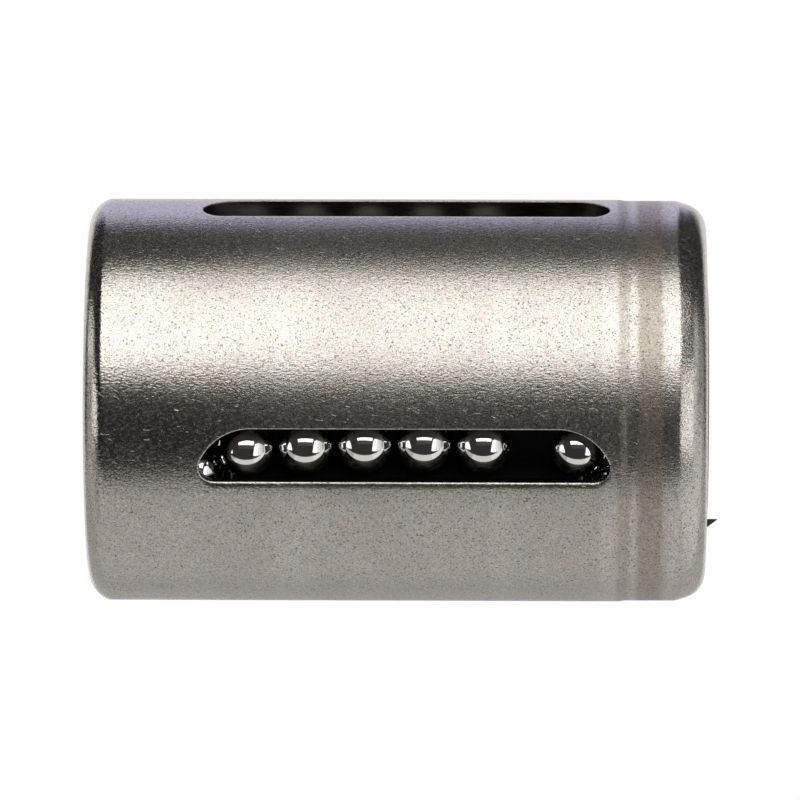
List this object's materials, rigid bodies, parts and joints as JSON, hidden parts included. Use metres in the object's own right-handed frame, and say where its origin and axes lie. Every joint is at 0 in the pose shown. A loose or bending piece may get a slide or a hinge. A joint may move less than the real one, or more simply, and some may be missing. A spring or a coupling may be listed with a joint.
{
  "type": "linear ball bearing",
  "caption": "Round linear ball bearing: a drawn steel sleeve with long windows, a black plastic ball cage, recirculating ball loops and a seal lip at each end.",
  "frame": {"origin": "centre of the drawn end face, which the bearing stands on", "axes": "+Z along the shaft axis, from the drawn end to the rolled-in end; -Y through the middle of a window"},
  "size_m": [0.017, 0.017, 0.0261],
  "materials": {
    "sleeve_steel": "satin",
    "ball_steel": "polished",
    "cage_plastic": "moulded",
    "seal_rubber": "moulded"
  },
  "bodies": {
    "bearing_shell": {"outer_sleeve": "sleeve_steel", "ball_cage": "cage_plastic", "lower_seal": "seal_rubber", "upper_seal": "seal_rubber"},
    "load_row_1": {"load_balls_1": "ball_steel"},
    "return_row_1": {"return_balls_1": "ball_steel"},
    "lower_turn_1": {"lower_turn_ball_1": "ball_steel"},
    "upper_turn_1": {"upper_turn_ball_1": "ball_steel"},
    "load_row_2": {"load_balls_2": "ball_steel"},
    "return_row_2": {"return_balls_2": "ball_steel"},
    "lower_turn_2": {"lower_turn_ball_2": "ball_steel"},
    "upper_turn_2": {"upper_turn_ball_2": "ball_steel"},
    "load_row_3": {"load_balls_3": "ball_steel"},
    "return_row_3": {"return_balls_3": "ball_steel"},
    "lower_turn_3": {"lower_turn_ball_3": "ball_steel"},
    "upper_turn_3": {"upper_turn_ball_3": "ball_steel"},
    "load_row_4": {"load_balls_4": "ball_steel"},
    "return_row_4": {"return_balls_4": "ball_steel"},
    "lower_turn_4": {"lower_turn_ball_4": "ball_steel"},
    "upper_turn_4": {"upper_turn_ball_4": "ball_steel"}
  },
  "joints": [
    {"name": "load_row_1_roll", "type": "slide", "parent": "bearing_shell", "child": "load_row_1", "axis": [0, 0, 1], "range_m": [0, 0.0007]},
    {"name": "return_row_1_roll", "type": "slide", "parent": "bearing_shell", "child": "return_row_1", "axis": [0, 0, -1], "range_m": [0, 0.0007]},
    {"name": "lower_turn_1_swing", "type": "hinge", "parent": "bearing_shell", "child": "lower_turn_1", "pos_m": [-0.00007, -0.00002, 0.0064], "axis": [0.2613, -0.9653, 0], "range_deg": [0, 23.73]},
    {"name": "upper_turn_1_swing", "type": "hinge", "parent": "bearing_shell", "child": "upper_turn_1", "pos_m": [-0.00007, -0.00002, 0.02052], "axis": [0.2613, -0.9653, 0], "range_deg": [0, 23.73]},
    {"name": "load_row_2_roll", "type": "slide", "parent": "bearing_shell", "child": "load_row_2", "axis": [0, 0, 1], "range_m": [0, 0.0007]},
    {"name": "return_row_2_roll", "type": "slide", "parent": "bearing_shell", "child": "return_row_2", "axis": [0, 0, -1], "range_m": [0, 0.0007]},
    {"name": "lower_turn_2_swing", "type": "hinge", "parent": "bearing_shell", "child": "lower_turn_2", "pos_m": [0.00002, -0.00007, 0.0064], "axis": [0.9653, 0.2613, 0], "range_deg": [0, 23.73]},
    {"name": "upper_turn_2_swing", "type": "hinge", "parent": "bearing_shell", "child": "upper_turn_2", "pos_m": [0.00002, -0.00007, 0.02052], "axis": [0.9653, 0.2613, 0], "range_deg": [0, 23.73]},
    {"name": "load_row_3_roll", "type": "slide", "parent": "bearing_shell", "child": "load_row_3", "axis": [0, 0, 1], "range_m": [0, 0.0007]},
    {"name": "return_row_3_roll", "type": "slide", "parent": "bearing_shell", "child": "return_row_3", "axis": [0, 0, -1], "range_m": [0, 0.0007]},
    {"name": "lower_turn_3_swing", "type": "hinge", "parent": "bearing_shell", "child": "lower_turn_3", "pos_m": [0.00007, 0.00002, 0.0064], "axis": [-0.2613, 0.9653, 0], "range_deg": [0, 23.73]},
    {"name": "upper_turn_3_swing", "type": "hinge", "parent": "bearing_shell", "child": "upper_turn_3", "pos_m": [0.00007, 0.00002, 0.02052], "axis": [-0.2613, 0.9653, 0], "range_deg": [0, 23.73]},
    {"name": "load_row_4_roll", "type": "slide", "parent": "bearing_shell", "child": "load_row_4", "axis": [0, 0, 1], "range_m": [0, 0.0007]},
    {"name": "return_row_4_roll", "type": "slide", "parent": "bearing_shell", "child": "return_row_4", "axis": [0, 0, -1], "range_m": [0, 0.0007]},
    {"name": "lower_turn_4_swing", "type": "hinge", "parent": "bearing_shell", "child": "lower_turn_4", "pos_m": [-0.00002, 0.00007, 0.0064], "axis": [-0.9653, -0.2613, 0], "range_deg": [0, 23.73]},
    {"name": "upper_turn_4_swing", "type": "hinge", "parent": "bearing_shell", "child": "upper_turn_4", "pos_m": [-0.00002, 0.00007, 0.02052], "axis": [-0.9653, -0.2613, 0], "range_deg": [0, 23.73]}
  ],
  "couplings": [
    {"joint": "return_row_1_roll", "follows": "load_row_1_roll", "ratio": 1},
    {"joint": "lower_turn_1_swing", "follows": "load_row_1_roll", "rad_per_m": 591.54},
    {"joint": "upper_turn_1_swing", "follows": "load_row_1_roll", "rad_per_m": 591.54},
    {"joint": "return_row_2_roll", "follows": "load_row_2_roll", "ratio": 1},
    {"joint": "lower_turn_2_swing", "follows": "load_row_2_roll", "rad_per_m": 591.54},
    {"joint": "upper_turn_2_swing", "follows": "load_row_2_roll", "rad_per_m": 591.54},
    {"joint": "return_row_3_roll", "follows": "load_row_3_roll", "ratio": 1},
    {"joint": "lower_turn_3_swing", "follows": "load_row_3_roll", "rad_per_m": 591.54},
    {"joint": "upper_turn_3_swing", "follows": "load_row_3_roll", "rad_per_m": 591.54},
    {"joint": "return_row_4_roll", "follows": "load_row_4_roll", "ratio": 1},
    {"joint": "lower_turn_4_swing", "follows": "load_row_4_roll", "rad_per_m": 591.54},
    {"joint": "upper_turn_4_swing", "follows": "load_row_4_roll", "rad_per_m": 591.54}
  ]
}
